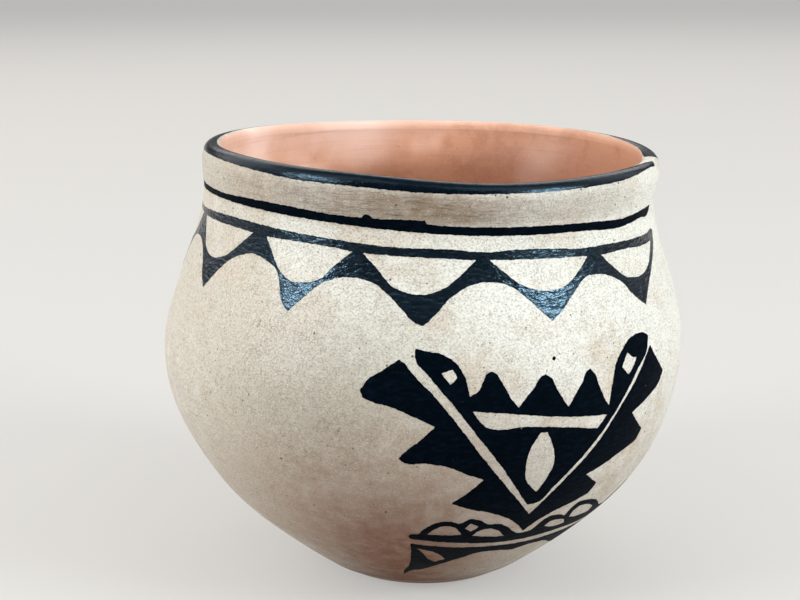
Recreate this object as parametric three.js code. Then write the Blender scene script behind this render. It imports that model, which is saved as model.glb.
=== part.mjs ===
// A small coil-built clay pot with a wide mouth, in millimetres, +Z up, its foot at the origin and
// its front towards -Y. A moulded base carries stacked coils, each with a bevelled lap on the one
// below. A thicker last coil makes the lip, and a coat of slip covers the outside and the lip.
import * as THREE from "three";

// The outside is one curve of height, given at the foot, haunch, belly, shoulder, neck and lip.
// A rise is a height above the place before it, a slope is radius gained per millimetre of height.
const footRadius = 20.6;
const footSlope = 1.45;
const haunchRise = 24.6;
const haunchRadius = 48.2;
const haunchSlope = 0.685;
const bellyRise = 27.2;
const bellyRadius = 57.5;
const shoulderRise = 13.4;
const shoulderRadius = 54.6;
const shoulderSlope = -0.305;
const neckRise = 19.8;
const neckRadius = 49.1;
const lipRise = 8;
const lipRadius = 49.4;
const lipSlope = -0.4;
const lipRound = 2;

// The clay under the slip: its floor, its wall at the belly, and the slip's own coat.
const floorThickness = 6;
const bellyThickness = 5;
const slipThickness = 0.4;
const slipStart = 1.2;
const slipEndTurn = THREE.MathUtils.degToRad(160);

// How the wall is stacked: the base's height, the coils above it and the lap where two of them join.
const baseHeight = 20;
const coilCount = 7;
const rimCoilHeight = 8;
const lapDrop = 4;

// What the hand and the fire leave. The rim stands a little to the right and dips there and behind.
// It is bowed as well: high at both ends of the bow's direction, and low across it.
const rimShift = 1.8;
const rimDipRight = 1.5;
const rimDipBack = 0.3;
const rimBow = 0.55;
const bowDirection = THREE.MathUtils.degToRad(20);
const riseExponent = 1.5;

// How finely the round shapes are cut.
const segmentsRound = 48;
const stepsPerCoil = 2;
const stepsOnBase = 4;
const stepsOnLip = 6;
const stepsOnFloor = 2;
const stepsInsideRim = 3;

const haunchHeight = haunchRise;
const bellyHeight = haunchHeight + bellyRise;
const shoulderHeight = bellyHeight + shoulderRise;
const neckHeight = shoulderHeight + neckRise;
const lipHeight = neckHeight + lipRise;

const bareClay = { color: 0xc5876a, roughness: 0.8, metalness: 0 };
const creamSlip = { color: 0xd6cebf, roughness: 0.6, metalness: 0 };

const outside = [
  { height: 0, radius: footRadius, slope: footSlope },
  { height: haunchHeight, radius: haunchRadius, slope: haunchSlope },
  { height: bellyHeight, radius: bellyRadius, slope: 0 },
  { height: shoulderHeight, radius: shoulderRadius, slope: shoulderSlope },
  { height: neckHeight, radius: neckRadius, slope: 0 },
  { height: lipHeight, radius: lipRadius, slope: lipSlope },
];

// Radius and slope of the outside at a height, by a cubic between the two places around it.
function outsideAt(height) {
  const above = outside.findIndex((place) => place.height > height);
  const index = above === -1 ? outside.length - 1 : above;
  const place = outside[index - 1];
  const next = outside[index];
  const span = next.height - place.height;
  const t = (height - place.height) / span;
  const fromPlace = 2 * t ** 3 - 3 * t ** 2 + 1;
  const leaving = t ** 3 - 2 * t ** 2 + t;
  const arriving = t ** 3 - t ** 2;
  const bend = (6 * t ** 2 - 6 * t) / span;
  return {
    radius:
      place.radius * fromPlace +
      next.radius * (1 - fromPlace) +
      span * (place.slope * leaving + next.slope * arriving),
    slope:
      (place.radius - next.radius) * bend +
      place.slope * (3 * t ** 2 - 4 * t + 1) +
      next.slope * (3 * t ** 2 - 2 * t),
  };
}

// A point of the section, as radius and height: so deep inside the outside's point at a height.
function wallPoint(height, depth) {
  const { radius, slope } = outsideAt(height);
  const inwards = new THREE.Vector2(-1, slope).normalize();
  return new THREE.Vector2(radius, height).addScaledVector(inwards, depth);
}

// The wall is as thick as the floor where it leaves the foot, and thins to the belly and the lip.
function wallThickness(height) {
  const atFoot = floorThickness * Math.hypot(1, 1 / footSlope);
  const atLip = 2 * lipRound - slipThickness;
  if (height < bellyHeight) {
    return THREE.MathUtils.lerp(atFoot, bellyThickness, height / bellyHeight);
  }
  const share = (height - bellyHeight) / (lipHeight - bellyHeight);
  return THREE.MathUtils.lerp(bellyThickness, atLip, share);
}

function evenSteps(from, to, steps) {
  const shares = Array.from({ length: steps + 1 }, (_, i) => i / steps);
  return shares.map((share) => THREE.MathUtils.lerp(from, to, share));
}

function outerFace(from, to, steps, depth) {
  return evenSteps(from, to, steps).map((height) => wallPoint(height, depth));
}

function innerFace(from, to, steps) {
  return evenSteps(from, to, steps).map((height) => wallPoint(height, wallThickness(height)));
}

const lipCentre = wallPoint(lipHeight, lipRound);
const rimHeight = lipCentre.y + lipRound;

// A stretch of the lip's half round, so deep under its surface. Turns count from the outside.
function lipFace(fromTurn, toTurn, steps, depth) {
  const start = wallPoint(lipHeight, 0).sub(lipCentre).angle();
  const turns = evenSteps(fromTurn, toTurn, steps).slice(1);
  return turns.map((turn) => {
    const arm = new THREE.Vector2(lipRound - depth, 0);
    return arm.rotateAround(new THREE.Vector2(), start + turn).add(lipCentre);
  });
}

// Moves a point from the true turned shape to the hand-built one. Nothing moves below the belly.
function handBuilt(point) {
  const rise = Math.max(0, (point.z - bellyHeight) / (rimHeight - bellyHeight)) ** riseExponent;
  const angle = Math.atan2(point.y, point.x);
  const tip = -(rimDipRight * point.x + rimDipBack * point.y) / lipRadius;
  const bow = rimBow * Math.cos(2 * (angle - bowDirection));
  return point.set(point.x + rimShift * rise, point.y, point.z + (tip + bow) * rise);
}

// Splits each four-cornered facet from its lower corner, so that two faces that meet split alike.
function splitFacets(geometry, section) {
  const rows = section.length;
  const corners = [];
  for (let turn = 0; turn < segmentsRound; turn += 1) {
    for (let row = 0; row < rows - 1; row += 1) {
      const a = turn * rows + row;
      const b = a + rows;
      const c = b + 1;
      const d = a + 1;
      const upwards = section[row].y < section[row + 1].y;
      corners.push(...(upwards ? [a, b, d, b, c, d] : [a, b, c, a, c, d]));
    }
  }
  geometry.setIndex(corners);
}

// A ring or a bowl from its section, whose points run anticlockwise with the axis on the left.
function turned(name, section, finish) {
  const geometry = new THREE.LatheGeometry(section, segmentsRound);
  splitFacets(geometry, section);
  geometry.rotateX(Math.PI / 2);
  const positions = geometry.getAttribute("position");
  const point = new THREE.Vector3();
  for (let i = 0; i < positions.count; i += 1) {
    handBuilt(point.fromBufferAttribute(positions, i));
    positions.setXYZ(i, point.x, point.y, point.z);
  }
  geometry.computeVertexNormals();
  const mesh = new THREE.Mesh(geometry, new THREE.MeshStandardMaterial(finish));
  mesh.name = name;
  return mesh;
}

// Heights of the seams on the outside, from the base's top to the foot of the rim's coil.
const seams = evenSteps(baseHeight, rimHeight - rimCoilHeight, coilCount);

function mouldedBase() {
  const footInside = wallPoint(0, wallThickness(0));
  const footEdge = new THREE.Vector2(wallPoint(0, 0).x - slipThickness, 0);
  const floor = evenSteps(footInside.x, 0, stepsOnFloor).slice(1);
  const section = [
    new THREE.Vector2(0, 0),
    footEdge,
    ...outerFace(slipStart, baseHeight, stepsOnBase, slipThickness),
    ...innerFace(baseHeight - lapDrop, 0, stepsOnBase),
    ...floor.map((radius) => new THREE.Vector2(radius, footInside.y)),
  ];
  return turned("moulded_base", section, bareClay);
}

function wallCoil(index) {
  const low = seams[index];
  const high = seams[index + 1];
  const section = [
    ...outerFace(low, high, stepsPerCoil, slipThickness),
    ...innerFace(high - lapDrop, low - lapDrop, stepsPerCoil),
  ];
  section.push(section[0].clone());
  return turned(`wall_coil_${index + 1}`, section, bareClay);
}

function rimCoil() {
  const low = seams[coilCount];
  const section = [
    ...outerFace(low, lipHeight, stepsPerCoil, slipThickness),
    ...lipFace(0, slipEndTurn, stepsOnLip, slipThickness),
    ...lipFace(slipEndTurn, Math.PI, 1, slipThickness),
    ...innerFace(lipHeight, low - lapDrop, stepsInsideRim).slice(1),
  ];
  section.push(section[0].clone());
  return turned("rim_coil", section, bareClay);
}

function slipCoat() {
  const coat = (depth) => [
    ...outerFace(slipStart, baseHeight, stepsOnBase, depth),
    ...seams.slice(1).flatMap((high, i) => outerFace(seams[i], high, stepsPerCoil, depth).slice(1)),
    ...outerFace(seams[coilCount], lipHeight, stepsPerCoil, depth).slice(1),
    ...lipFace(0, slipEndTurn, stepsOnLip, depth),
  ];
  const section = [...coat(0), ...coat(slipThickness).reverse()];
  section.push(section[0].clone());
  return turned("slip_coat", section, creamSlip);
}

const pot = new THREE.Group();
pot.name = "clay_pot";
pot.add(mouldedBase());
for (let index = 0; index < coilCount; index += 1) {
  pot.add(wallCoil(index));
}
pot.add(rimCoil());
pot.add(slipCoat());

export default pot;
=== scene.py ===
import math

import bpy
import numpy as np
from mathutils import Matrix, Vector, geometry


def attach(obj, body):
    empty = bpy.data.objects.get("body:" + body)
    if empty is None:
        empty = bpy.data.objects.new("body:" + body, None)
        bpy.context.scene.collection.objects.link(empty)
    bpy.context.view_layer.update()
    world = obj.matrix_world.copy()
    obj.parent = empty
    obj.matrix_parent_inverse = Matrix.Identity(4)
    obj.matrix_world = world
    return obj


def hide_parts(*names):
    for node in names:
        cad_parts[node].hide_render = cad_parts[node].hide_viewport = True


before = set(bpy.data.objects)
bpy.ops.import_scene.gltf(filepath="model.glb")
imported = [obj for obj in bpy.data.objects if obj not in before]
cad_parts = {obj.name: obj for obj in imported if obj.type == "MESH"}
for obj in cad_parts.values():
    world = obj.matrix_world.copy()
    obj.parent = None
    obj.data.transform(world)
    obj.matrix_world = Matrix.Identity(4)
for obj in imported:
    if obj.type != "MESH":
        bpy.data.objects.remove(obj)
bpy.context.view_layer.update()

potShape = {
    # height, radius and slope at the foot, haunch, belly, shoulder, neck and lip
    "outside": [
        (0, 20.6, 1.45),
        (24.6, 48.2, 0.685),
        (51.8, 57.5, 0),
        (65.2, 54.6, -0.305),
        (85, 49.1, 0),
        (93, 49.4, -0.4),
    ],
    "lipRound": 2,
    "floor": 6,
    "bellyWall": 5,
    "slip": 0.4,
    "slipStart": 1.2,
    # turns over the lip in degrees where the coat starts to thin and where it ends
    "slipThinTurn": 100,
    "slipEndTurn": 160,
    "slipThinning": 0.75,
    "baseHeight": 20,
    "coils": 7,
    "rimCoil": 8,
    "lap": 4,
    # the rim stands to the right, dips right and back, and is bowed
    "rimShift": 1.8,
    "dipRight": 1.5,
    "dipBack": 0.3,
    "bow": 0.55,
    "bowDirection": 20,
    "riseExponent": 1.5,
    # where the lip is pinched up: middle and width in degrees, millimetres
    "crests": [(-17, 25, 1.0), (-56, 24, 0.55), (50, 26, 0.55), (160, 40, 0.2)],
    "crestFrom": 86,
    "lipStart": 84,  # from here the inside runs up to the lip's round
}
lipHeight = potShape["outside"][5][0]
lipRadius = potShape["outside"][5][1]
lipRound = potShape["lipRound"]
bellyHeight = potShape["outside"][2][0]


def smooth(value, low, high):
    t = np.clip((value - low) / (high - low), 0, 1)
    return t * t * (3 - 2 * t)


# Radius and slope of the outside at a height, by a cubic between the two places around it.
def outsideAt(height):
    places = np.array(potShape["outside"], float)
    i = np.clip(np.searchsorted(places[:, 0], height, side="right") - 1, 0, len(places) - 2)
    low = places[i]
    high = places[i + 1]
    span = high[..., 0] - low[..., 0]
    t = (height - low[..., 0]) / span
    fromLow = 2 * t**3 - 3 * t**2 + 1
    radius = low[..., 1] * fromLow + high[..., 1] * (1 - fromLow)
    radius += span * (low[..., 2] * (t**3 - 2 * t**2 + t) + high[..., 2] * (t**3 - t**2))
    slope = (low[..., 1] - high[..., 1]) * (6 * t**2 - 6 * t) / span
    slope += low[..., 2] * (3 * t**2 - 4 * t + 1) + high[..., 2] * (3 * t**2 - 2 * t)
    return radius, slope


# The skin's section, so deep under the surface: radius, height and the angle that it faces.
def skinSection(climb, depth):
    radius, slope = outsideAt(np.minimum(climb, lipHeight))
    lean = np.arctan2(-slope, 1.0)
    facing = lean + np.maximum(climb - lipHeight, 0) / lipRound
    arm = lipRound - depth
    across = radius - lipRound * np.cos(lean) + arm * np.cos(facing)
    up = np.minimum(climb, lipHeight) - lipRound * np.sin(lean) + arm * np.sin(facing)
    return across, up, facing


rimHeight = float(skinSection(lipHeight, lipRound)[1]) + lipRound

handWork = {
    # depth in mm, waves round the pot, mm of climb to a radian, start
    "outside": [(0.1, 2, 16, 0.4), (0.07, 3, -11, 1.9), (0.05, 5, 7, 4.1), (0.035, 9, -5, 2.7)],
    "inside": [(0.16, 2, 14, 2.2), (0.1, 5, -8, 0.3), (0.05, 1, 1.6, 1.0), (0.05, 11, 6, 5.0)],
    # climbs between which the marks grow above the foot, and fade below the lip
    "grow": {"outside": (2, 12), "inside": (3, 14)},
    "fade": {"outside": (90, 98), "inside": (80, 92)},
    # the belly is fuller high on the left and low on the right: depth, and climb and reach of each
    "sway": 0.3,
    "swayHigh": (46, 11),
    "swayLow": (28, 10),
}


def waves(kind, azimuth, climb):
    turn = np.radians(azimuth)
    return sum(
        size * np.sin(count * turn + climb / length + start)
        for size, count, length, start in handWork[kind]
    )


def markShare(kind, climb):
    return smooth(climb, *handWork["grow"][kind]) * (1 - smooth(climb, *handWork["fade"][kind]))


def mound(value, middle, reach):
    return np.exp(-(((value - middle) / reach) ** 2))


def outsideMarks(azimuth, climb):
    right = np.sin(np.radians(azimuth))
    fuller = mound(climb, *handWork["swayLow"]) - mound(climb, *handWork["swayHigh"])
    marks = waves("outside", azimuth, climb) + handWork["sway"] * right * fuller
    return marks * markShare("outside", climb)


# Hills round the pot: the middle and width of each in degrees, and its height.
def hills(azimuth, places):
    return sum(
        size * mound((azimuth - middle + 180) % 360 - 180, 0, width) for middle, width, size in places
    )


# From the turned shape to the hand-built one. Nothing moves below the belly.
def handBuilt(azimuth, radius, height):
    turn = np.radians(azimuth)
    x = radius * np.sin(turn)
    y = -radius * np.cos(turn)
    rise = np.maximum(0, (height - bellyHeight) / (rimHeight - bellyHeight)) ** potShape["riseExponent"]
    tip = -(potShape["dipRight"] * x + potShape["dipBack"] * y) / lipRadius
    bow = potShape["bow"] * np.cos(2 * (np.arctan2(y, x) - math.radians(potShape["bowDirection"])))
    crest = hills(azimuth, potShape["crests"]) * smooth(height, potShape["crestFrom"], rimHeight)
    shape = np.broadcast_arrays(x + potShape["rimShift"] * rise, y, height + (tip + bow) * rise + crest)
    return np.stack(shape, -1)


def skin(azimuth, climb, lift=0.0):
    across, up, facing = skinSection(climb, -lift)
    marks = outsideMarks(azimuth, climb)
    return handBuilt(azimuth, across + marks * np.cos(facing), up + marks * np.sin(facing))


# The coat thins over the lip's inner side, where the clay comes up to meet it.
def slipDepth(climb):
    turn = np.degrees((climb - lipHeight) / lipRound)
    thinned = smooth(turn, potShape["slipThinTurn"], potShape["slipEndTurn"])
    return potShape["slip"] * (1 - potShape["slipThinning"] * thinned)


def underSlip(azimuth, climb):
    return skin(azimuth, climb, -slipDepth(climb))


def wallThickness(height):
    atFoot = potShape["floor"] * math.hypot(1, 1 / potShape["outside"][0][2])
    atLip = 2 * lipRound - potShape["slip"]
    low = atFoot + (potShape["bellyWall"] - atFoot) * height / bellyHeight
    high = (height - bellyHeight) / (lipHeight - bellyHeight)
    high = potShape["bellyWall"] + (atLip - potShape["bellyWall"]) * high
    return np.where(height < bellyHeight, low, high)


def insideSection(height):
    radius, slope = outsideAt(height)
    lean = np.arctan2(-slope, 1.0)
    depth = wallThickness(height)
    return radius - depth * np.cos(lean), height - depth * np.sin(lean), lean


# Under the lip the inside runs smoothly up to where the lip's round faces the axis.
lipInside = lipHeight + lipRound * (math.pi - float(skinSection(lipHeight, 0)[2]))


def inside(azimuth, height):
    start = potShape["lipStart"]
    radius, up, lean = insideSection(np.minimum(height, start))
    share = (height - start) / (lipHeight - start)
    lipAcross, lipUp, _ = skinSection(lipInside, slipDepth(lipInside))
    radius = radius + (lipAcross - radius) * smooth(share, 0, 1)
    up = up + (lipUp - up) * np.maximum(share, 0)
    marks = waves("inside", azimuth, height) * markShare("inside", height)
    return handBuilt(azimuth, radius - marks * np.cos(lean), up - marks * np.sin(lean))


def unit(vectors):
    return vectors / np.maximum(np.linalg.norm(vectors, axis=-1, keepdims=True), 1e-12)


# Which way a surface faces, from its own shape just beside each place.
def facingOf(surface, azimuth, value, degrees=0.05, step=0.01):
    across = surface(azimuth + degrees, value) - surface(azimuth - degrees, value)
    along = surface(azimuth, value + step) - surface(azimuth, value - step)
    return unit(np.cross(across, along))


def addObject(name, data):
    added = bpy.data.objects.new(name, data)
    bpy.context.scene.collection.objects.link(added)
    return added


def makePiece(name, points, faces, normals, finish, replaced=()):
    mesh = bpy.data.meshes.new(name)
    mesh.from_pydata((np.asarray(points) * 0.001).tolist(), [], faces)
    mesh.shade_smooth()
    mesh.normals_split_custom_set(np.asarray(normals).tolist())
    mesh.materials.append(finish)
    piece = addObject(name, mesh)
    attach(piece, "root")
    if replaced:
        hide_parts(*replaced)
    return piece


# Turns strips into a closed body. A strip is a surface and the values that it runs through; each
# starts where the last one ended, and they run upwards on the outside and down on the inside.
def turnedPiece(name, strips, around, finish, replaced):
    azimuth = np.arange(around) * 360 / around
    points, faces, normals = [], [], []
    count = 0
    opening = previous = None
    for number, (surface, values) in enumerate(strips):
        values = np.asarray(values, float)
        grid = surface(azimuth[None, :], values[:, None])
        facing = facingOf(surface, azimuth[None, :], values[:, None])
        facing = facing * np.sign(values[-1] - values[0])
        rows = []
        for i, ring in enumerate(grid):
            closing = number == len(strips) - 1 and i == len(grid) - 1
            if np.ptp(ring, axis=0).max() < 1e-6:  # the axis, one point for the whole ring
                facing[i] = facing[1 if i == 0 else i - 1]
                row, fresh = np.full(around, count), ring[:1]
            else:
                row, fresh = np.arange(count, count + around), ring
            if i == 0 and previous is not None:
                row, fresh = previous, ring[:0]
            elif closing and np.allclose(ring, opening[1], atol=1e-5):
                row, fresh = opening[0], ring[:0]
            if opening is None:
                opening = (row, ring)
            points.extend(fresh)
            count += len(fresh)
            rows.append(row)
        previous = rows[-1]
        rows = np.array(rows)
        beside = np.roll(rows, -1, axis=1)
        besideFacing = np.roll(facing, -1, axis=1)
        quads = np.stack([rows[:-1], beside[:-1], beside[1:], rows[1:]], -1).reshape(-1, 4)
        corners = np.stack([facing[:-1], besideFacing[:-1], besideFacing[1:], facing[1:]], 2)
        corners = corners.reshape(-1, 4, 3)
        lowPole = quads[:, 0] == quads[:, 1]
        highPole = quads[:, 2] == quads[:, 3]
        groups = [(~lowPole & ~highPole, [0, 1, 2, 3]), (lowPole, [0, 2, 3]), (highPole, [0, 1, 2])]
        for wanted, kept in groups:
            faces.extend(quads[wanted][:, kept].tolist())
            normals.extend(corners[wanted][:, kept].reshape(-1, 3))
    return makePiece(name, points, faces, normals, finish, replaced)


# A surface straight from one ring to another, for a lap and for an edge.
def straight(fromRing, toRing):
    def surface(azimuth, share):
        return fromRing(azimuth) * (1 - share)[..., None] + toRing(azimuth) * share[..., None]

    return surface


# One socket of a finish. Python sums on it add Math nodes.
class Wire:
    def __init__(self, finish, socket):
        self.finish = finish
        self.socket = socket

    def sum(self, operation, first, second):
        return self.finish.node("ShaderNodeMath", {"operation": operation}, {0: first, 1: second})

    def __add__(self, other):
        return self.sum("ADD", self, other)

    def __radd__(self, other):
        return self.sum("ADD", other, self)

    def __sub__(self, other):
        return self.sum("SUBTRACT", self, other)

    def __rsub__(self, other):
        return self.sum("SUBTRACT", other, self)

    def __mul__(self, other):
        return self.sum("MULTIPLY", self, other)

    def __rmul__(self, other):
        return self.sum("MULTIPLY", other, self)


def colour(red, green, blue):
    def linear(value):
        value /= 255
        return value / 12.92 if value < 0.04045 else ((value + 0.055) / 1.055) ** 2.4

    return (linear(red), linear(green), linear(blue), 1)


# A material or the world under construction.
class Finish:
    def __init__(self, owner):
        self.owner = owner
        owner.use_nodes = True
        self.tree = owner.node_tree
        self.tree.nodes.clear()

    def node(self, kind, settings=None, values=None, out=None):
        node = self.tree.nodes.new(kind)
        for key, value in (settings or {}).items():
            setattr(node, key, value)
        for key, value in (values or {}).items():
            named = [s for s in node.inputs if s.name == key and s.enabled]
            socket = named[0] if named else node.inputs[key]
            if isinstance(value, Wire):
                self.tree.links.new(value.socket, socket)
            else:
                socket.default_value = value
        shown = [s for s in node.outputs if s.enabled and (out is None or s.name == out)]
        return Wire(self, shown[0]) if shown else None

    # object coordinates in millimetres
    def place(self):
        spot = self.node("ShaderNodeTexCoord", out="Object")
        return self.stretch(spot, (1000, 1000, 1000))

    def stretch(self, place, by):
        return self.node("ShaderNodeVectorMath", {"operation": "MULTIPLY"}, {0: place, 1: by})

    def along(self, place, axis):
        return self.node("ShaderNodeSeparateXYZ", None, {0: place}, axis)

    def attribute(self, name):
        return self.node("ShaderNodeAttribute", {"attribute_name": name}, None, "Fac")

    # thin lines where a cloud passes its middle
    def threads(self, cloud, width):
        off = self.node("ShaderNodeMath", {"operation": "ABSOLUTE"}, {0: cloud - 0.5})
        return self.step(off, width, width * 0.25)

    def cloud(self, place, size, detail, roughness, stretched=(1, 1, 1)):
        if stretched != (1, 1, 1):
            place = self.stretch(place, stretched)
        values = {"Vector": place, "Scale": 1 / size, "Detail": detail, "Roughness": roughness}
        return self.node("ShaderNodeTexNoise", None, values, "Fac")

    # all clouds of a look, in its order
    def clouds(self, place, look):
        return [self.cloud(place, *cloud) for cloud in look["clouds"].values()]

    # 0 below low and 1 above high, or the other way round where low is above high
    def step(self, value, low, high):
        values = {"Value": value, "From Min": low, "From Max": high}
        return self.node("ShaderNodeMapRange", {"interpolation_type": "SMOOTHSTEP"}, values)

    def mix(self, factor, first, second, way="MIX"):
        settings = {"data_type": "RGBA", "blend_type": way}
        return self.node("ShaderNodeMix", settings, {"Factor": factor, "A": first, "B": second})

    # lays colours over a base, each as its share, its name in the look and how it mixes
    def over(self, base, look, layers):
        for share, tint, *way in layers:
            base = self.mix(share, base, look[tint], *way)
        return base

    # Round grains: a share of the cells hold one, as wide as reach or down to a third of it.
    def grains(self, place, cell, share, reach):
        values = {"Vector": place, "Scale": 1 / cell, "Randomness": 1.0}
        far = self.node("ShaderNodeTexVoronoi", None, values, "Distance")
        tint = self.node("ShaderNodeTexVoronoi", None, values, "Color")
        chance = self.node("ShaderNodeSeparateColor", None, {0: tint}, "Red")
        width = self.node("ShaderNodeSeparateColor", None, {0: tint}, "Green")
        size = (width * 0.7 + 0.3) * reach
        return self.step(size - far, 0, reach * 0.35) * self.step(chance, share + 0.02, share - 0.02)

    def close(self, base, roughness, relief, millimetres, specular, tint=(1, 1, 1, 1)):
        height = {"Height": relief, "Strength": 1.0, "Distance": millimetres / 1000}
        values = {
            "Base Color": base,
            "Roughness": roughness,
            "Normal": self.node("ShaderNodeBump", None, height),
            "Specular IOR Level": specular,
            "Specular Tint": tint,
        }
        surface = self.node("ShaderNodeBsdfPrincipled", None, values, "BSDF")
        self.node("ShaderNodeOutputMaterial", None, {"Surface": surface})
        return self.owner


clayLook = {
    "fired": colour(214, 158, 126),
    "light": colour(246, 208, 190),
    "deep": colour(182, 124, 92),
    "shade": colour(142, 91, 65),
    "speck": colour(112, 76, 56),
    "foot": colour(150, 114, 92),
    "roughness": 0.5,
    "specular": 0.45,
    "relief": 0.06,  # millimetres
    # size in millimetres, detail and roughness, and how its place is stretched
    "clouds": {
        "drift": (17, 2, 0.5),
        "mottle": (3.5, 4, 0.6),
        "powder": (0.5, 3, 0.6),
        "wiped": (1, 3, 0.6, (0.05, 0.05, 1.1)),
    },
    "grains": (1.0, 0.3, 0.2),  # cell, share of the cells, reach
    # millimetres to the right and up between which the painted light on the lit left side begins
    "litPatchesRight": (44, 14),
    "litPatchesUp": (40, 78),
    # inside it has painted light above a height, more to the left, and painted shade below it, more to the
    # right: height of the full tone, lean to the right, share
    "paintedLightSplit": 90,
    "paintedLightAbove": (97, 0.1, 0.42),
    "paintedShadeBelow": (80, 0.15, 0.6),
    # patches of painted sheen inside: middle in millimetres, reach, share
    "sheenPatches": [((-16, 44, 92), 14, 0.75), ((30, 36, 90), 11, 0.14)],
    "sheenPatchEdge": 3,
    "footFrom": (3.0, 1.6),  # heights between which the foot's darker colour begins
}


# The fired clay's colour, with the marks of wiping and the powder on it, and painted light and shade inside:
# lighter patches on the left, painted light near the lip, painted shade deeper down and to the right, and
# patches of painted sheen.
def clayColour(finish, place):
    look = clayLook
    up = finish.along(place, "Z")
    right = finish.along(place, "X")
    drift, mottle, powder, wiped = finish.clouds(place, look)
    # painted light: lighter patches kept to the left side and higher up, where the inside is lit
    light = finish.step(drift, 0.46, 0.7) * finish.step(right, *look["litPatchesRight"])
    # painted light near the lip and painted shade deeper inside and towards the right
    full, lean, share = look["paintedLightAbove"]
    pale = finish.step(up + drift * 4 - right * lean, look["paintedLightSplit"], full) * share
    full, lean, share = look["paintedShadeBelow"]
    dark = finish.step(up + (drift - 0.5) * 4 - right * lean, look["paintedLightSplit"], full) * share
    layers = [
        (light * finish.step(up, *look["litPatchesUp"]), "light"),
        (finish.step(mottle * 0.5 + drift * 0.5, 0.5, 0.36) * 0.5, "deep"),
        (pale, "light"),
        (dark, "shade"),
    ]
    # patches of painted sheen on the inside
    edge = look["sheenPatchEdge"]
    for middle, reach, share in look["sheenPatches"]:
        far = finish.node("ShaderNodeVectorMath", {"operation": "DISTANCE"}, {0: place, 1: middle}, "Value")
        layers.append((finish.step(far + mottle * 6, reach + edge, edge) * share, "light"))
    layers.append((finish.step(wiped, 0.5, 0.85) * 0.4, "deep"))
    layers.append((finish.step(powder, 0.55, 0.8) * 0.22, "light"))
    return finish.over(look["fired"], look, layers), wiped, powder


def makeBareClay():
    look = clayLook
    finish = Finish(bpy.data.materials.new("bareClay"))
    place = finish.place()
    base, wiped, powder = clayColour(finish, place)
    fine = finish.grains(place, *look["grains"])
    foot = finish.step(finish.along(place, "Z"), *look["footFrom"])
    base = finish.over(base, look, [(fine * 0.4, "speck"), (foot * 0.75, "foot")])
    roughness = look["roughness"] + (wiped - 0.5) * 0.2 + fine * 0.15
    relief = powder * 0.4 + wiped * 0.7 - fine * 0.6
    return finish.close(base, roughness, relief, look["relief"], look["specular"])


slipLook = {
    "pale": colour(229, 225, 214),
    "beige": colour(212, 203, 187),
    "warm": colour(214, 194, 172),
    "lowShadeTan": colour(122, 76, 50),
    "frontShade": colour(190, 184, 168),
    "neckStainShade": colour(138, 117, 96),
    "grit": colour(126, 115, 102),
    "fleck": colour(244, 242, 234),
    "soot": colour(50, 41, 37),
    "rust": colour(112, 82, 60),
    "roughness": 0.37,
    "specular": 0.32,
    "relief": 0.05,  # millimetres
    # most of the marks run round the pot
    "clouds": {
        "drift": (26, 3, 0.5),
        "warmth": (13, 4, 0.6),
        "mottle": (3.2, 3, 0.6),
        "grit": (0.34, 2, 0.7, (0.8, 0.8, 1.1)),
        "rubbed": (1, 3, 0.6, (0.045, 0.045, 1.5)),
        "streaked": (1, 3, 0.65, (0.22, 0.22, 1.6)),
        "scored": (1, 2, 0.5, (0.09, 0.09, 1.9)),
        "worms": (1, 3, 0.7),
        "hairs": (5.5, 4, 0.65),
    },
    # painted shade: the slip darkens towards the left side, which is lit less
    "shadeToLeft": 0.0015,  # how much more beige the slip is for a millimetre to the left
    "pits": (1.4, 0.3, 0.19),  # cell, share of the cells, reach
    "coarse": (2.5, 0.7, 0.125),  # the darkest ones
    "footStain": (6.5, 3),  # climbs between which the lower edge turns rusty
}


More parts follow.
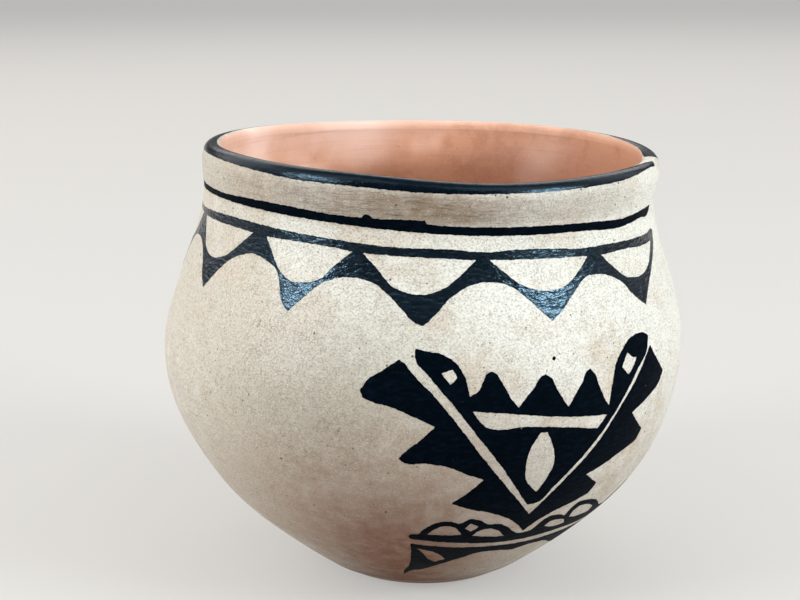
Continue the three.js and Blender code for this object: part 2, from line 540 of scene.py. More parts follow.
# The bands of colour first, then the grain of the slip, and the clay where the slip is worn. Some bands are
# painted shade: low down, on the front of the belly, on the left side and partly on the neck.
def makeCreamSlip():
    look = slipLook
    finish = Finish(bpy.data.materials.new("creamSlip"))
    place = finish.place()
    marks = ("climb", "thin", "neckStainShade", "lowShade", "frontShade")
    climb, thin, neckStainShade, lowShade, frontShade = [finish.attribute(name) for name in marks]
    drift, warmth, mottle, grit, rubbed, streaked, scored, worms, hairs = finish.clouds(place, look)
    uneven = drift * 0.7 + mottle * 0.3 - finish.along(place, "X") * look["shadeToLeft"]
    clean = 1 - lowShade * 0.55
    worms = finish.threads(worms, 0.04) * finish.step(grit, 0.4, 0.55)
    hairs = finish.threads(hairs, 0.0045) * finish.step(warmth, 0.46, 0.56)
    score = finish.threads(scored, 0.02) * neckStainShade
    pits = finish.grains(place, *look["pits"])
    coarse = finish.grains(place, *look["coarse"])
    layers = [
        (finish.step(uneven, 0.4, 0.62), "beige"),
        (finish.step(warmth, 0.5, 0.72) * 0.45, "warm"),
        # painted shade on the front of the belly
        (frontShade * (0.6 + mottle * 0.8), "frontShade"),
        # painted shade and a painted warm reflection on the low part
        (lowShade * (0.78 + mottle * 0.4), "lowShadeTan"),
        # stains on the neck, partly painted shade
        (neckStainShade * (0.6 + mottle * 0.75), "neckStainShade"),
        (finish.step(streaked, 0.5, 0.7) * neckStainShade * 0.5, "rust"),
        (finish.step(streaked, 0.46, 0.3) * neckStainShade * 0.35, "beige"),
        (finish.step(rubbed, 0.5, 0.8) * 0.3, "beige", "MULTIPLY"),
        (finish.step(grit, 0.44, 0.7) * clean * 0.34, "grit"),
        (finish.step(grit, 0.42, 0.26) * clean * 0.35, "fleck"),
        (worms * clean * (0.25 + mottle * 0.6), "grit"),
        (hairs * 0.5, "rust"),
        (score * 0.6, "soot"),
        (pits * (0.2 + mottle * 0.7 + neckStainShade * 0.8), "soot"),
        (coarse * 0.9, "soot"),
        (finish.step(climb + mottle * 3, *look["footStain"]) * 0.5, "rust"),
    ]
    worn = finish.step(thin + (mottle - 0.5) * 0.9, 0.35, 0.75)
    base = finish.mix(worn, finish.over(look["pale"], look, layers), clayColour(finish, place)[0])
    roughness = look["roughness"] + (rubbed - 0.5) * 0.2 + pits * 0.2 + lowShade * 0.3 + neckStainShade * 0.15
    relief = grit * 0.7 + rubbed * 0.5 - worms * 0.4 - pits * 1.2 - coarse * 1.6 - hairs * 0.3 - score * 0.4
    return finish.close(base, roughness, relief, look["relief"], look["specular"])


paintLook = {
    "deep": colour(3, 8, 14),
    "thin": colour(9, 20, 33),
    "slip": colour(196, 184, 166),
    "tint": (0.48, 0.78, 1, 1),
    # roughness, specular, relief in millimetres and its grain: burnished at the neck, matt below
    "neck": (0.2, 0.55, 0.26, 0.12),
    "lip": (0.11, 0.23, 0.09, 0.5),
    "belly": (0.48, 0.012, 0.12, 0.3),
    # the strokes of the brush, the grain, and the pools of thicker paint
    "clouds": {
        "strokes": (0.75, 2, 0.5, (0.42, 0.42, 0.95)),
        "grain": (0.34, 2, 0.65),
        "pooled": (4, 3, 0.6),
    },
    "bare": (1.9, 0.1, 0.08),  # tiny gaps in it: cell, share of the cells, reach
}


def makeBlackPaint(name, part):
    look = paintLook
    roughness, specular, relief, share = look[part]
    finish = Finish(bpy.data.materials.new(name))
    place = finish.place()
    strokes, grain, pooled = finish.clouds(place, look)
    base = finish.mix(finish.step(strokes * 0.6 + grain * 0.4, 0.45, 0.75), look["deep"], look["thin"])
    base = finish.mix(finish.grains(place, *look["bare"]) * 0.7, base, look["slip"])
    rough = roughness + (grain - 0.5) * 0.12 + (pooled - 0.5) * 0.2
    return finish.close(base, rough, grain * share + strokes, relief, specular, look["tint"])


creamSlip = makeCreamSlip()
neckPaint = makeBlackPaint("neckPaint", "neck")
lipPaint = makeBlackPaint("lipPaint", "lip")
bellyPaint = makeBlackPaint("bellyPaint", "belly")
bareClay = makeBareClay()
print("finishes made")

clayWork = {
    "around": 240,
    "rowsPerCoil": 14,
    "rowsOnBase": 26,
    "rowsOnLip": 24,
    "footRound": 1.3,
    "floorRound": 5,
    "bendTop": 3,  # height where the bend from the wall to the floor starts
}
seams = np.linspace(potShape["baseHeight"], rimHeight - potShape["rimCoil"], potShape["coils"] + 1)


# The bevelled lap of a seam, out to the slip or back to the inside.
def makeLap(height, back=False):
    ends = [lambda a: inside(a, height - potShape["lap"]), lambda a: underSlip(a, height)]
    return straight(*(ends[::-1] if back else ends))


# A smooth bend of a section, between two points of it and towards the corner where they'd meet.
def bend(start, corner, end):
    def surface(azimuth, share):
        left = (1 - share) ** 2
        right = share**2
        middle = 1 - left - right
        radius = start[0] * left + corner[0] * middle + end[0] * right
        height = start[1] * left + corner[1] * middle + end[1] * right
        return handBuilt(azimuth, radius, height)

    return surface


def makeBase():
    work = clayWork
    lap, bendTop = potShape["lap"], work["bendTop"]
    low, high = potShape["slipStart"], potShape["baseHeight"]
    _, footRadius, slope = potShape["outside"][0]
    edge = footRadius - potShape["slip"]
    across, up, _ = skinSection(low, potShape["slip"])
    cornerDepth = float(wallThickness(0.0))
    corner = footRadius - cornerDepth / math.hypot(1, slope)
    floorTop = cornerDepth * slope / math.hypot(1, slope)
    depth = float(wallThickness(bendTop))
    radius, lean = outsideAt(bendTop)
    size = math.hypot(1, float(lean))
    bendEnd = (float(radius) - depth / size, bendTop + depth * float(lean) / size)
    floorEdge = corner - work["floorRound"]
    strips = [
        (lambda a, r: handBuilt(a, r, 0 * r), np.linspace(0, edge - work["footRound"], 8)),
        (bend((edge - work["footRound"], 0), (edge, 0), (float(across), float(up))), np.linspace(0, 1, 7)),
        (underSlip, np.linspace(low, high, 12)),
        (makeLap(high, back=True), [0, 1]),
        (inside, np.linspace(high - lap, bendTop, work["rowsOnBase"])),
        (bend(bendEnd, (corner, floorTop), (floorEdge, floorTop)), np.linspace(0, 1, 12)),
        (lambda a, r: handBuilt(a, -r, floorTop + 0 * r), np.linspace(-floorEdge, 0, 8)),
    ]
    turnedPiece("clay_base", strips, work["around"], bareClay, ["moulded_base"])


def makeCoil(number):
    low, high = seams[number], seams[number + 1]
    lap = potShape["lap"]
    strips = [
        (underSlip, np.linspace(low, high, 5)),
        (makeLap(high, back=True), [0, 1]),
        (inside, np.linspace(high - lap, low - lap, clayWork["rowsPerCoil"])),
        (makeLap(low), [0, 1]),
    ]
    nodes = [f"wall_coil_{number + 1}"]
    turnedPiece(f"clay_coil_{number + 1}", strips, clayWork["around"], bareClay, nodes)


def makeRimCoil():
    low = seams[-1]
    strips = [
        (underSlip, np.linspace(low, lipHeight, 6)),
        (underSlip, np.linspace(lipHeight, lipInside, clayWork["rowsOnLip"])),
        (inside, np.linspace(lipHeight, low - potShape["lap"], 18)),
        (makeLap(low), [0, 1]),
    ]
    turnedPiece("clay_rim", strips, clayWork["around"], bareClay, ["rim_coil"])


makeBase()
for number in range(potShape["coils"]):
    makeCoil(number)
makeRimCoil()
print("clay pieces made")

slipWork = {
    "around": 360,
    "rows": 108,
    "rowsOnLip": 26,
    "footEdge": 1.6,  # mean climb of its lower edge
    "footWaver": 0.45,
    "waverEnd": 9,  # climb where the wavering has died out
    "footFade": 1.1,  # climb within which it gets its full thickness
    "edge": 0.12,  # thickness left at the lower edge, and inside the lip
    "lipEdge": 0.03,
    "fadeTurn": 120,  # turn over the lip from which it is worn thin
    # the turn over the lip where the clay shows through it, and how softly
    "bareAzimuth": [0, 70, 84, 96, 116, 140, 200, 240, 262, 285, 360],
    "bareTurn": [118, 118, 126, 108, 84, 66, 62, 70, 100, 116, 118],
    "bareWidth": 30,
    # middle and width in degrees, and share, of the neck's stains above the upper line, which also hold
    # painted shade
    "neckStainShade": [(3, 23, 0.7), (-30, 35, 0.52), (42, 15, 0.34), (128, 30, 0.8), (214, 46, 0.85)],
    "neckStainShadeFrom": (84.4, 87.8),
    "neckStainShadeFade": (90.8, 92.6, 0.5),  # and how much of them is lost at the lip
    # painted shade and a painted warm reflection make the low part browner, most on the left front: climb
    # where it ends and where it is full
    "lowShade": (73, 13),
    "lowShadeCurve": 1.2,
    "lowShadeSides": [(-8, 33, 0.78)],
    "lowShadeAround": 0.22,
    # painted shade darkens the front of the belly: its sides, and the middle and reach of its climb
    "frontShade": [(-17, 25, 1.0)],
    "frontShadeClimb": (54, 16),
}


# Where the slip's lower edge really runs, and how the coat thins to both edges.
def slipClimb(azimuth, climb):
    turn = np.radians(azimuth)
    waver = np.sin(2 * turn + 1) + 0.6 * np.sin(5 * turn + 2) + 0.4 * np.sin(11 * turn)
    start = slipWork["footEdge"] + slipWork["footWaver"] * waver / 2 - potShape["slipStart"]
    return climb + start * (1 - smooth(climb, potShape["slipStart"], slipWork["waverEnd"]))


def slipTop(azimuth, climb):
    turn = np.degrees((climb - lipHeight) / lipRound)
    faded = smooth(turn, slipWork["fadeTurn"], potShape["slipEndTurn"])
    over = (slipDepth(climb) - slipWork["lipEdge"]) * faded
    under = 1 - smooth(climb, potShape["slipStart"], potShape["slipStart"] + slipWork["footFade"])
    worn = np.maximum(over, (potShape["slip"] - slipWork["edge"]) * under)
    return skin(azimuth, slipClimb(azimuth, climb), -worn)


def slipUnder(azimuth, climb):
    return skin(azimuth, slipClimb(azimuth, climb), -slipDepth(climb))


# What the finish reads off the slip: how thin it is over the lip, its climb, how it is stained, and where
# shade is painted on it.
def markSlip(piece, wall, lip):
    azimuth = np.arange(slipWork["around"]) * 360 / slipWork["around"]
    climb = np.concatenate([wall, lip[1:]])[:, None]

    # a value for each point of the outer side, and one for the whole inner side
    def mark(name, outer, inner=0.0):
        values = np.full(len(piece.data.vertices), inner)
        values[: outer.size] = outer.ravel()
        piece.data.attributes.new(name, "FLOAT", "POINT").data.foreach_set("value", values)

    turn = np.degrees(np.maximum(climb - lipHeight, 0) / lipRound)
    starts = np.interp(azimuth, slipWork["bareAzimuth"], slipWork["bareTurn"])
    thin = np.clip((turn - starts) / slipWork["bareWidth"] + 0.5, 0, 1)
    mark("thin", thin, thin[-1].mean())
    mark("climb", np.repeat(climb, len(azimuth)), potShape["slipStart"])
    low, high, lost = slipWork["neckStainShadeFade"]
    height = smooth(climb, *slipWork["neckStainShadeFrom"]) * (1 - lost * smooth(climb, low, high))
    mark("neckStainShade", hills(azimuth, slipWork["neckStainShade"]) * height)
    ends, full = slipWork["lowShade"]
    side = slipWork["lowShadeAround"] + hills(azimuth, slipWork["lowShadeSides"])
    mark("lowShade", (1 - smooth(climb, full, ends)) ** slipWork["lowShadeCurve"] * side)
    mark("frontShade", hills(azimuth, slipWork["frontShade"]) * mound(climb, *slipWork["frontShadeClimb"]))


def makeSlip():
    start = potShape["slipStart"]
    end = lipHeight + lipRound * math.radians(potShape["slipEndTurn"])
    footTop = start + slipWork["footFade"]
    foot = np.linspace(start, footTop, 5)[:-1]
    wall = np.concatenate([foot, np.linspace(footTop, lipHeight, slipWork["rows"])])
    lip = np.linspace(lipHeight, end, slipWork["rowsOnLip"])
    strips = [
        (slipTop, wall),
        (slipTop, lip),
        (straight(lambda a: slipTop(a, end), lambda a: slipUnder(a, end)), [0, 1]),
        (slipUnder, lip[::-3]),
        (slipUnder, np.append(wall[::-4], start)),
        (straight(lambda a: slipUnder(a, start), lambda a: slipTop(a, start)), [0, 1]),
    ]
    piece = turnedPiece("cream_slip", strips, slipWork["around"], creamSlip, ["slip_coat"])
    markSlip(piece, wall, lip)


makeSlip()
print("slip made")

brushWork = {
    "proud": 0.03,
    "sunk": 0.02,
    "spacing": 0.24,  # between points of an outline
    "corner": 48,  # a turn sharper than this stays a corner
    "soften": 3,
    "hold": (0.85, 0.5),  # what a corner and any other place keep of their own while it is softened
    "ragged": 0.05,
    "wander": (0.9, 1.5, 2.3, 3.7, 6.1),  # lengths of its waves
}


# A brushed outline: a smooth curve through the given points with its sharp corners kept, softened
# a little, and with the small wander of a yucca brush. Points come as azimuth and climb.
def brushed(outline, perDegree, hand):
    points = np.array(outline, float) * [perDegree, 1]
    ahead = np.roll(points, -1, axis=0) - points
    length = np.maximum(np.linalg.norm(ahead, axis=1), 1e-6)
    heading = ahead / length[:, None]
    before = np.roll(heading, 1, axis=0)
    lengthBefore = np.roll(length, 1)
    turn = np.degrees(np.arccos(np.clip((heading * before).sum(1), -1, 1)))
    shared = (before * length[:, None] + heading * lengthBefore[:, None]) / (length + lengthBefore)[:, None]
    sharp = (turn > brushWork["corner"])[:, None]
    leaving = np.where(sharp, heading, shared) * length[:, None]
    arriving = np.roll(np.where(sharp, before, shared), -1, axis=0) * length[:, None]
    following = np.roll(points, -1, axis=0)
    firm, loose = brushWork["hold"]
    curve, hold = [], []
    for i in range(len(points)):
        t = np.arange(0, 1, 1 / max(1, round(length[i] / brushWork["spacing"])))[:, None]
        hold += [firm if sharp[i] else loose] + [loose] * (len(t) - 1)
        curve.append(
            points[i] * (2 * t**3 - 3 * t**2 + 1)
            + following[i] * (3 * t**2 - 2 * t**3)
            + leaving[i] * (t**3 - 2 * t**2 + t)
            + arriving[i] * (t**3 - t**2)
        )
    curve = np.concatenate(curve)
    hold = np.array(hold)[:, None]
    for _ in range(brushWork["soften"]):
        beside = (np.roll(curve, 1, axis=0) + np.roll(curve, -1, axis=0)) / 2
        curve = curve * hold + beside * (1 - hold)
    along = unit(np.roll(curve, -1, axis=0) - np.roll(curve, 1, axis=0))
    run = np.arange(len(curve)) * brushWork["spacing"]
    wander = sum(np.sin(2 * math.pi * run / wave + hand.uniform(0, 6.3)) for wave in brushWork["wander"])
    side = np.stack([-along[:, 1], along[:, 0]], 1)
    return curve + side * (wander * brushWork["ragged"] / 2)[:, None]


# Paint as a thin closed skin on the slip. Filled outlines hold paint, and holes are left bare.
def paintPiece(name, filled, holes, finish, perDegree, seed, spread=(1.0, 1.0)):
    hand = np.random.default_rng(seed)
    points, loops = [], []
    for outline in filled + holes:
        curve = brushed(outline, perDegree, hand)
        area = np.sum(curve[:, 0] * np.roll(curve[:, 1], -1) - np.roll(curve[:, 0], -1) * curve[:, 1])
        loops.append(list(range(len(points), len(points) + len(curve)))[:: 1 if area > 0 else -1])
        points.extend(curve)
    low, high = np.min(points, axis=0), np.max(points, axis=0)
    for j, y in enumerate(np.arange(low[1], high[1], spread[1])):
        x = np.arange(low[0] + (j % 2) * spread[0] / 2, high[0], spread[0])
        points.extend(np.stack([x, np.full(len(x), y)], 1))
    made = geometry.delaunay_2d_cdt([Vector(p) for p in points], [], loops, 0, 1e-6, True)
    painted = [
        triangle
        for triangle, owners in zip(made[2], made[5])
        if owners and min(owners) < len(filled) and max(owners) < len(filled)
    ]
    used = sorted({corner for triangle in painted for corner in triangle})
    place = {old: new for new, old in enumerate(used)}
    triangles = np.array([[place[corner] for corner in triangle] for triangle in painted])
    flat = np.array([made[0][old] for old in used])
    azimuth, climb = flat[:, 0] / perDegree, flat[:, 1]
    top = skin(azimuth, climb, brushWork["proud"])
    bottom = skin(azimuth, climb, -brushWork["sunk"])
    facing = facingOf(skin, azimuth, climb)
    sides = triangles[:, [0, 1, 1, 2, 2, 0]].reshape(-1, 2)
    known = {tuple(side) for side in sides.tolist()}
    rim = np.array([side for side in sides.tolist() if (side[1], side[0]) not in known])
    wall = np.concatenate([rim + len(used), rim[:, ::-1]], 1)
    wallFacing = unit(np.cross(top[rim[:, 1]] - top[rim[:, 0]], facing[rim[:, 0]]))
    faces = triangles.tolist() + (triangles[:, ::-1] + len(used)).tolist() + wall.tolist()
    normals = [facing[triangles].reshape(-1, 3), -facing[triangles[:, ::-1]].reshape(-1, 3)]
    normals.append(np.repeat(wallFacing, 4, axis=0))
    return makePiece(name, np.concatenate([top, bottom]), faces, np.concatenate(normals), finish)


def moved(outline, azimuth=0.0, climb=0.0):
    return [(a + azimuth, c + climb) for a, c in outline]


# An outline runs to the right along one edge and back along the other.
lipBand = [
    (-278.5, 94.3), (-276, 93.3), (-270, 92.9), (-262, 92.8), (-245, 92.75), (-230, 92.8), (-180, 92.65),
    (-130, 93), (-80, 92.9), (-64, 92.85), (-51, 92.7), (-42, 92.5), (-35, 92.25), (-24, 92.2),
    (-13, 92.2), (-3, 92.2), (7, 92.4), (17, 92.6), (28, 92.6), (41, 92.65), (50, 92.7), (56, 92.95),
    (61, 93.3), (67, 93.6), (73, 93.8),
    (74, 94.5), (70.5, 95), (65, 95.6), (58, 96), (48, 96.2), (30, 96.1), (10, 96.2), (-14, 96.1),
    (-36, 96.1), (-56, 96.3), (-76, 96.3), (-92, 96.1), (-106, 95.7), (-120, 95), (-150, 94.7),
    (-180, 94.9), (-210, 94.7), (-228, 94.9), (-238, 95.5), (-246, 96.1), (-254, 96.4), (-264, 96.7),
    (-270, 97), (-275, 97), (-278.5, 96.5), (-280, 95.5),
]
paintPiece("paint_lip", [lipBand], [], lipPaint, 0.88, 3, (1.2, 0.24))

upperLine = [
    (-271, 86.5), (-250, 86.8), (-215, 86.6), (-180, 87), (-140, 86.8), (-100, 86.7), (-67, 86.9),
    (-58, 87), (-51, 87.3), (-36, 87.5), (-21, 87.1), (-15.6, 87.1), (-15.3, 87.6), (-14.4, 87.8),
    (-13.6, 87.5), (-13.2, 87.1), (-3.4, 87.3), (-1.2, 87.3), (-0.8, 86.6), (3, 86.4), (16, 86.1),
    (30, 85.9), (45, 85.3), (51, 84.9), (58, 85), (64, 85.2), (71, 85.2),
    (69.5, 83.8), (62, 83.6), (51, 83.1), (38, 83.9), (24, 84.2), (9, 84.5), (0, 84.8), (-11, 85.2),
    (-21, 85.5), (-36, 85.7), (-51, 85.8), (-67, 85.7), (-100, 85.1), (-140, 85.2), (-180, 85.3),
    (-215, 85), (-250, 85.1), (-270, 84.9),
]
paintPiece("paint_upper_line", [upperLine], [], bellyPaint, 0.86, 5)

# The lower line and the points that hang from it. A point has its tip, the arch from there to the
# next point on the right, and the bare cap left above it.
frieze = {
    "lineTop": [
        (-271, 81.8), (-250, 82.2), (-215, 82.1), (-180, 82.5), (-140, 82.3), (-100, 82.2), (-75, 82.1),
        (-67, 82.5), (-54, 83), (-36, 82.8), (-21, 82.4), (-8, 81.9), (5, 81.8), (14, 81.2), (17.6, 81.4),
        (32, 80.9), (36, 80.5), (45, 80.3), (62, 79.7), (67, 79.6), (71.5, 79.8),
    ],
    "rightEdge": [(73, 79.2), (71.4, 77.2), (66, 73.4), (60.4, 69.6)],
    "tips": [(-59.6, 68.5), (-30.4, 68.3), (-0.5, 67.5), (27.5, 67.3), (56.8, 66.2)],
    "arches": [
        [(-57, 71.1), (-53, 74.5), (-49, 76.3), (-43.5, 77.3), (-39.5, 76.6), (-36.2, 75.5), (-32.1, 69.5)],
        [(-27.2, 71.3), (-22.9, 74.5), (-18, 75.7), (-11.7, 75), (-8.4, 73.2), (-5.1, 70.5), (-2.1, 68.1)],
        [(2.2, 69.9), (5.1, 72.7), (9.6, 75), (12.8, 75.5), (19.1, 74.2), (22.1, 72), (25.1, 69.4)],
        [(30.2, 69), (34.7, 72.6), (37.8, 74.6), (41.7, 74.8), (46.2, 73.7), (49, 72.4), (52.4, 69.3)],
    ],
    "caps": [
        [(-71.5, 80.9), (-68.5, 78), (-65.8, 75.8), (-60, 74.4), (-53.9, 75.8), (-51.2, 77.4), (-47.3, 80.1),
         (-45.6, 81.1), (-53, 81.2), (-60, 81.1)],
        [(-41, 81), (-38, 78), (-34.8, 75.2), (-31.7, 73.9), (-28, 73.9), (-24, 75), (-21.2, 77.6),
         (-17.3, 80.5), (-22, 80.9), (-31, 81.1)],
        [(-14.9, 80.4), (-11.6, 78), (-7.6, 74.7), (-5, 73.7), (-0.9, 73.3), (2.8, 74.1), (6.6, 76.4),
         (10.6, 79.7), (5, 80), (-4, 80.2)],
        [(13.7, 79.7), (17.6, 76.9), (20.8, 74.8), (24, 73.6), (27.4, 73.1), (31.6, 73.5), (35, 75.2),
         (39.4, 78.7), (34, 79), (24, 79.4)],
        [(43.8, 78.4), (48.2, 74.9), (51.3, 73), (54.4, 72.3), (58.6, 72.2), (62.4, 73.1), (66, 75.2),
         (68.9, 77.6), (61, 77.7), (54, 78.3)],
    ],
    # further points to the left: how many and how far apart, and each one as seen from its tip
    "more": 7,
    "spacing": 27.9,
    "tipClimb": 67.8,
    "arch": [(2.4, 70.3), (5.8, 73.6), (9.8, 75.6), (14, 76.1), (18.4, 75.3), (22.2, 72.8), (25.6, 69.4)],
    "cap": [(-12.4, 80.8), (-9, 77.9), (-5.2, 75.2), (-1, 74), (3, 74.3), (6.6, 76.1), (11.8, 80.8), (4, 81),
            (-5, 80.9)],
    "leftEdge": [(-15.5, 79.5), (-12, 77.0), (-6.6, 73.5), (-2.4, 70.0)],
}


# The points that the photograph doesn't show follow the seen ones, each drawn a little differently.
# The outline runs to the right along the line's top, and back along the points.
def makeFrieze(seed):
    hand = np.random.default_rng(seed)
    tips, arches, caps = [], [], []
    for number in range(frieze["more"], 0, -1):
        middle = frieze["tips"][0][0] - number * frieze["spacing"] + hand.uniform(-0.5, 0.5)
        tips.append((middle, frieze["tipClimb"] + hand.uniform(-0.5, 0.5)))
        lift = hand.uniform(-0.4, 0.5)
        arches.append(moved(frieze["arch"], middle, lift))
        caps.append(moved(frieze["cap"], middle, lift * 0.4))
    lower = moved(frieze["leftEdge"], tips[0][0])
    tips += frieze["tips"]
    for tip, arch in zip(tips, arches + frieze["arches"]):
        lower += [tip, *arch]
    lower += [tips[-1], *frieze["rightEdge"][::-1]]
    outline = frieze["lineTop"] + lower[::-1]
    paintPiece("paint_frieze", [outline], caps + frieze["caps"], neckPaint, 0.9, 7)


makeFrieze(11)
print("neck painted")

figure = {
    "wings": [
        (-5, 61.4), (-8.5, 59.1), (-10.8, 57.6), (-12.4, 55.4), (-11.8, 53.9), (-9.4, 53.1), (-5.9, 52.2),
        (-1.3, 50.1), (2.3, 48.4), (-1.3, 44.9), (-3.7, 43), (-4.9, 41.6), (-4.3, 40.9), (1, 40.4),
        (4.7, 39.6), (9.7, 37.3), (12.7, 36.1), (10, 33.6), (6.1, 30.6), (10.7, 28.9), (15.1, 27.7),
        (18.3, 26.5), (22.1, 24.5), (26.8, 20.8), (28.4, 22.5), (32.1, 24.7), (38.4, 26.5), (42.5, 27.7),
        (43.6, 30.1), (38.3, 33.4), (41.2, 34.2), (48.1, 36.5), (53.2, 37.8), (54.3, 40.2), (52, 42),
        (48.6, 45.1), (54.9, 47.5), (58.3, 48.9), (60.7, 51.4), (57.2, 55.3), (55.3, 58.2), (53.5, 56.7),
        (49.5, 52.8), (44, 47.1), (38.6, 40.3), (31.5, 32.7), (25.8, 25.8), (18, 33.9), (11.8, 41.5),
        (6.8, 48.5), (2.1, 54.5), (-2.6, 59.2), (-3.9, 60.7),
    ],
    "body": [
        (-1.9, 63.5), (0.8, 62.9), (3.2, 62.5), (5.6, 61.3), (7.9, 58.4), (9, 54.2), (10.6, 55.2),
        (11.7, 57.2), (12.5, 58.6), (13.4, 58.9), (14.4, 58.3), (15.6, 56.4), (17.1, 53.6), (18.8, 51.4),
        (20.2, 53), (22.2, 55.2), (23.6, 57), (24.7, 57.4), (25.9, 56.6), (27.2, 54.2), (28.6, 51.9),
        (30, 50.1), (31.2, 52), (33.2, 54.6), (34.4, 56.6), (35.4, 57.1), (36.5, 56), (37.6, 53.4),
        (38.9, 50.8), (40.6, 48.5), (41.7, 54.1), (42.8, 56.9), (44.2, 58.4), (46.6, 60.2), (49, 61.2),
        (51.3, 61.4), (53.9, 61), (55.2, 60.1), (53.9, 57.6), (49.8, 54.4), (45.7, 50), (39.7, 42.9),
        (34.7, 37.4), (30.1, 32.5), (26.9, 28.8), (24.2, 28.6), (21.1, 32.3),
        (15.8, 39.3), (10.4, 46.4), (5.6, 52.9), (0.9, 58.4), (-1.9, 61.8),
    ],
    "bare": [
        [(3.4, 58.8), (5.6, 59.6), (6.6, 58.1), (5.2, 56.7)],
        [(46.7, 58.4), (48.5, 57), (49.7, 57), (48.3, 55.3), (46.5, 53.8), (44.5, 55.7)],
        [(9.5, 51.3), (17.5, 50.2), (25.2, 48.8), (33.9, 47.4), (40.4, 46.6), (38.1, 44), (31.2, 45.5),
         (21.4, 47.1), (12, 48.1)],
        [(23.9, 45.5), (25.5, 45.4), (27.6, 41), (28.2, 38.8), (27.5, 35.3), (25.6, 31.6), (22.3, 34.9),
         (21.6, 38.2), (21.8, 41.2), (23, 44)],
    ],
    "dot": [(26.4, 60.2), (26.9, 60.7), (27.5, 60.2), (26.9, 59.7)],
}


# The figure and the band at the foot are repeated on the far side, drawn again by hand.
def paintTwice(name, filled, bare, perDegree, seed):
    for side, turn in (("front", 0), ("back", -178)):
        shapes = [moved(outline, turn) for outline in filled]
        cuts = [moved(outline, turn) for outline in bare]
        paintPiece(f"{name}_{side}", shapes, cuts, bellyPaint, perDegree, seed)
        seed += 1


paintTwice("paint_figure", [figure[part] for part in ("wings", "body", "dot")], figure["bare"], 0.97, 21)
print("figures painted")

footBand = {
    "upper": [
        (-3.9, 21.5), (-3.3, 22.2), (-1.2, 22.2), (1.2, 24.6), (4, 25.8), (6.9, 25.7), (8.4, 25),
        (11.1, 26.4), (14.2, 25.4), (15.6, 24.4), (18.6, 24.3), (21, 23.1), (25.9, 20.3), (29.6, 20.4),
        (30.9, 22.4), (32.1, 23.5), (35.3, 23.7), (38.8, 22.6), (39.4, 24.6), (41.2, 26), (46.1, 25.2),
        (51, 23.4), (54.6, 21.4), (58.5, 20.6), (61, 22.6), (64.2, 24.4), (68, 24.2), (70.4, 23.4),
        (72.6, 25.2), (76, 25.6), (80, 24.6), (85, 22.4), (88, 20.5), (93, 20.2), (94, 18.8), (88, 17.9),
        (70, 17.7), (54, 17.5), (43, 17.9), (28, 17.9), (20, 18.3), (9.4, 19.3), (1.4, 20.1), (-3.3, 20.7),
    ],
    "bare": [
        [(0.9, 22.1), (2.9, 23.9), (5.4, 24.6), (7.4, 24.2), (9.7, 21.8), (5.2, 21.9)],
        [(10.1, 23.7), (11.3, 25), (13.6, 24), (11.8, 22.6)],
        [(12.3, 21.4), (13.9, 22.7), (16.7, 23.1), (18.9, 22.3), (21.6, 20.2), (17, 20.6)],
        [(33.4, 20.8), (34.5, 22), (36.9, 21.9), (40.4, 20.9), (41.6, 19.7), (39.1, 19.6), (36.1, 19.9)],
        [(41.6, 21.4), (41.2, 23.2), (42.3, 24.3), (45.6, 24), (50.4, 22.2), (50.6, 20.7), (46.1, 20.6)],
        [(61.6, 19.9), (63.4, 21.8), (66.4, 22.6), (70.4, 20.8), (67, 19.6)],
        [(72, 21.2), (73.4, 23.6), (76.6, 24), (82.6, 21.6), (78, 20.1)],
        [(-1.9, 17.5), (1.5, 16.8), (5.4, 14.8), (6.7, 13.5), (3.7, 12.4), (1.4, 13.7), (-0.5, 16.2)],
    ],
    "lower": [
        (-3.4, 19.1), (0, 18.7), (6.4, 18), (17, 17.3), (33, 16.4), (44.6, 16.4), (60, 16.3), (80, 16.4),
        (94, 16.9), (95, 14.6), (92, 13.6), (83, 13.9), (76, 12.4), (70, 10.6), (62, 10.2), (55, 10.4),
        (47, 12.3), (42, 14), (32.8, 14.7), (28.8, 14.2), (22, 15.1), (16.3, 15.2), (11.1, 13.5),
        (3.9, 10.8), (-0.3, 9.1), (-3.6, 8.6), (-8.3, 6.2), (-7.2, 8.3), (-5, 10.6), (-4.2, 12.5),
        (-3.6, 16),
    ],
}
paintTwice("paint_foot", [footBand["upper"], footBand["lower"]], footBand["bare"], 0.72, 31)
print("foot painted")

studio = {
    "floor": colour(192, 187, 180),
    "floorSeen": (0.92, 0.91, 0.89, 1),
    "floorShare": 0.4,
    "floorReach": 30.0,
    "aim": (0, 0, 0.05),
    "horizon": (0.115, 0.12, 0.125, 1),
    "zenith": (0.435, 0.455, 0.485, 1),
    # azimuth and elevation in degrees, distance, width and height in metres, radiance, colour
    "lamps": {
        "rightWindow": (62, 25, 1.2, (0.5, 0.72), 5.1, (0.89, 0.96, 1.0)),
        "leftWindow": (-62, 25, 1.2, (0.5, 0.72), 3.3, (0.96, 0.985, 1.0)),
        "rightBlind": (62, 27, 1.15, (0.42, 0.055), 78, (0.86, 0.95, 1.0)),
        "leftBlind": (-62, 27, 1.15, (0.42, 0.055), 70, (0.9, 0.96, 1.0)),
        "rightSky": (48, 55, 1.3, (1.0, 0.6), 1.66, (0.94, 0.975, 1.0)),
        "leftSky": (-48, 55, 1.3, (1.0, 0.6), 1.34, (0.98, 0.99, 1.0)),
        "rightSide": (112, 30, 1.2, (0.9, 0.8), 0.88, (0.96, 0.98, 1.0)),
        "leftSide": (-114, 30, 1.2, (1.0, 0.8), 1.5, (1.0, 0.98, 0.96)),
        "behind": (180, 38, 1.4, (1.6, 1.0), 1.55, (1.0, 0.98, 0.96)),
    },
}


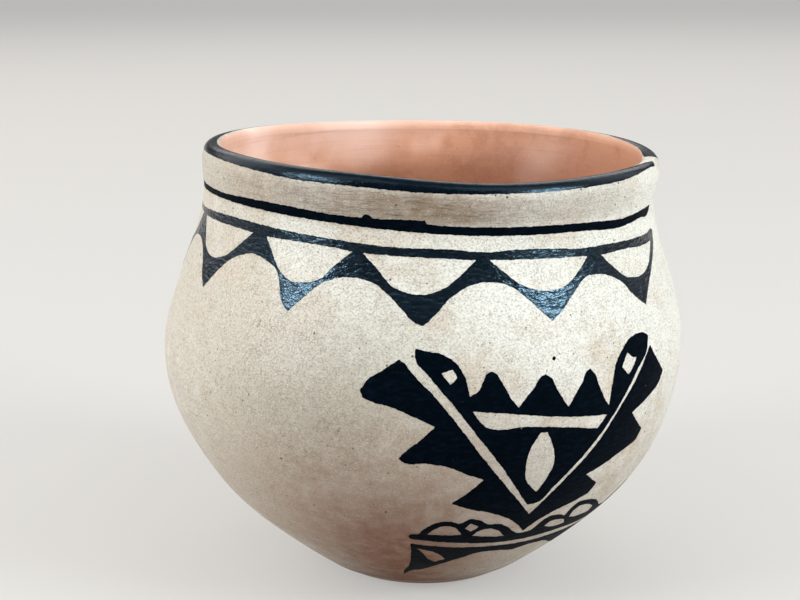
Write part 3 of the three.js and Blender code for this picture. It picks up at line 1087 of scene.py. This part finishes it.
def makeStudio():
    finish = Finish(bpy.data.materials.new("paleFloor"))
    values = {"Base Color": studio["floor"], "Roughness": 0.8, "Specular IOR Level": 0.1}
    lit = finish.node("ShaderNodeBsdfPrincipled", None, values, "BSDF")
    pale = finish.node("ShaderNodeEmission", None, {"Color": studio["floorSeen"], "Strength": 1.0})
    rays = ("Camera", "Glossy", "Transmission")
    seen = sum(finish.node("ShaderNodeLightPath", out=f"Is {kind} Ray") for kind in rays)
    mixed = finish.node("ShaderNodeMixShader", None, {0: seen * studio["floorShare"], 1: lit, 2: pale})
    finish.node("ShaderNodeOutputMaterial", None, {"Surface": mixed})
    reach = studio["floorReach"]
    mesh = bpy.data.meshes.new("studio_floor")
    corners = [(-reach, -reach, 0), (reach, -reach, 0), (reach, reach, 0), (-reach, reach, 0)]
    mesh.from_pydata(corners, [], [(0, 1, 2, 3)])
    mesh.materials.append(finish.owner)
    floor = addObject("studio_floor", mesh)
    for name, (azimuth, elevation, distance, size, radiance, tint) in studio["lamps"].items():
        turn, lift = math.radians(azimuth), math.radians(elevation)
        out = Vector((math.sin(turn) * math.cos(lift), -math.cos(turn) * math.cos(lift), math.sin(lift)))
        lamp = bpy.data.lights.new(name, "AREA")
        lamp.shape = "RECTANGLE"
        lamp.size, lamp.size_y = size
        lamp.energy = radiance * math.pi * size[0] * size[1]
        lamp.color = tint
        holder = addObject(name, lamp)
        holder.location = Vector(studio["aim"]) + out * distance
        holder.rotation_euler = (-out).to_track_quat("-Z", "Y").to_euler()
    sky = Finish(bpy.data.worlds.new("studioWorld"))
    up = sky.along(sky.node("ShaderNodeTexCoord", out="Generated"), "Z")
    tint = sky.mix(sky.step(up, 0.1, 1.0), studio["horizon"], studio["zenith"])
    light = sky.node("ShaderNodeBackground", None, {"Color": tint, "Strength": 1.0})
    sky.node("ShaderNodeOutputWorld", None, {"Surface": light})
    bpy.context.scene.world = sky.owner
    bpy.context.scene.view_settings.view_transform = "Standard"


cameraPlace = {
    "place": (0, -0.3699, 0.1494),
    "yaw": -0.81,
    "pitch": 13.63,
    "roll": -0.18,
    "lens": 76.5,
}


def makeCamera():
    data = bpy.data.cameras.new("photoCamera")
    data.lens = cameraPlace["lens"]
    data.sensor_width = 36
    data.sensor_fit = "HORIZONTAL"
    data.clip_start = 0.01
    data.clip_end = 50
    camera = addObject("photoCamera", data)
    turn = Matrix.Rotation(math.radians(-cameraPlace["yaw"]), 4, "Z")
    tilt = Matrix.Rotation(math.radians(90 - cameraPlace["pitch"]), 4, "X")
    roll = Matrix.Rotation(math.radians(cameraPlace["roll"]), 4, "Z")
    camera.matrix_world = Matrix.Translation(cameraPlace["place"]) @ turn @ tilt @ roll
    bpy.context.scene.camera = camera


makeStudio()
makeCamera()
print("studio and camera placed")
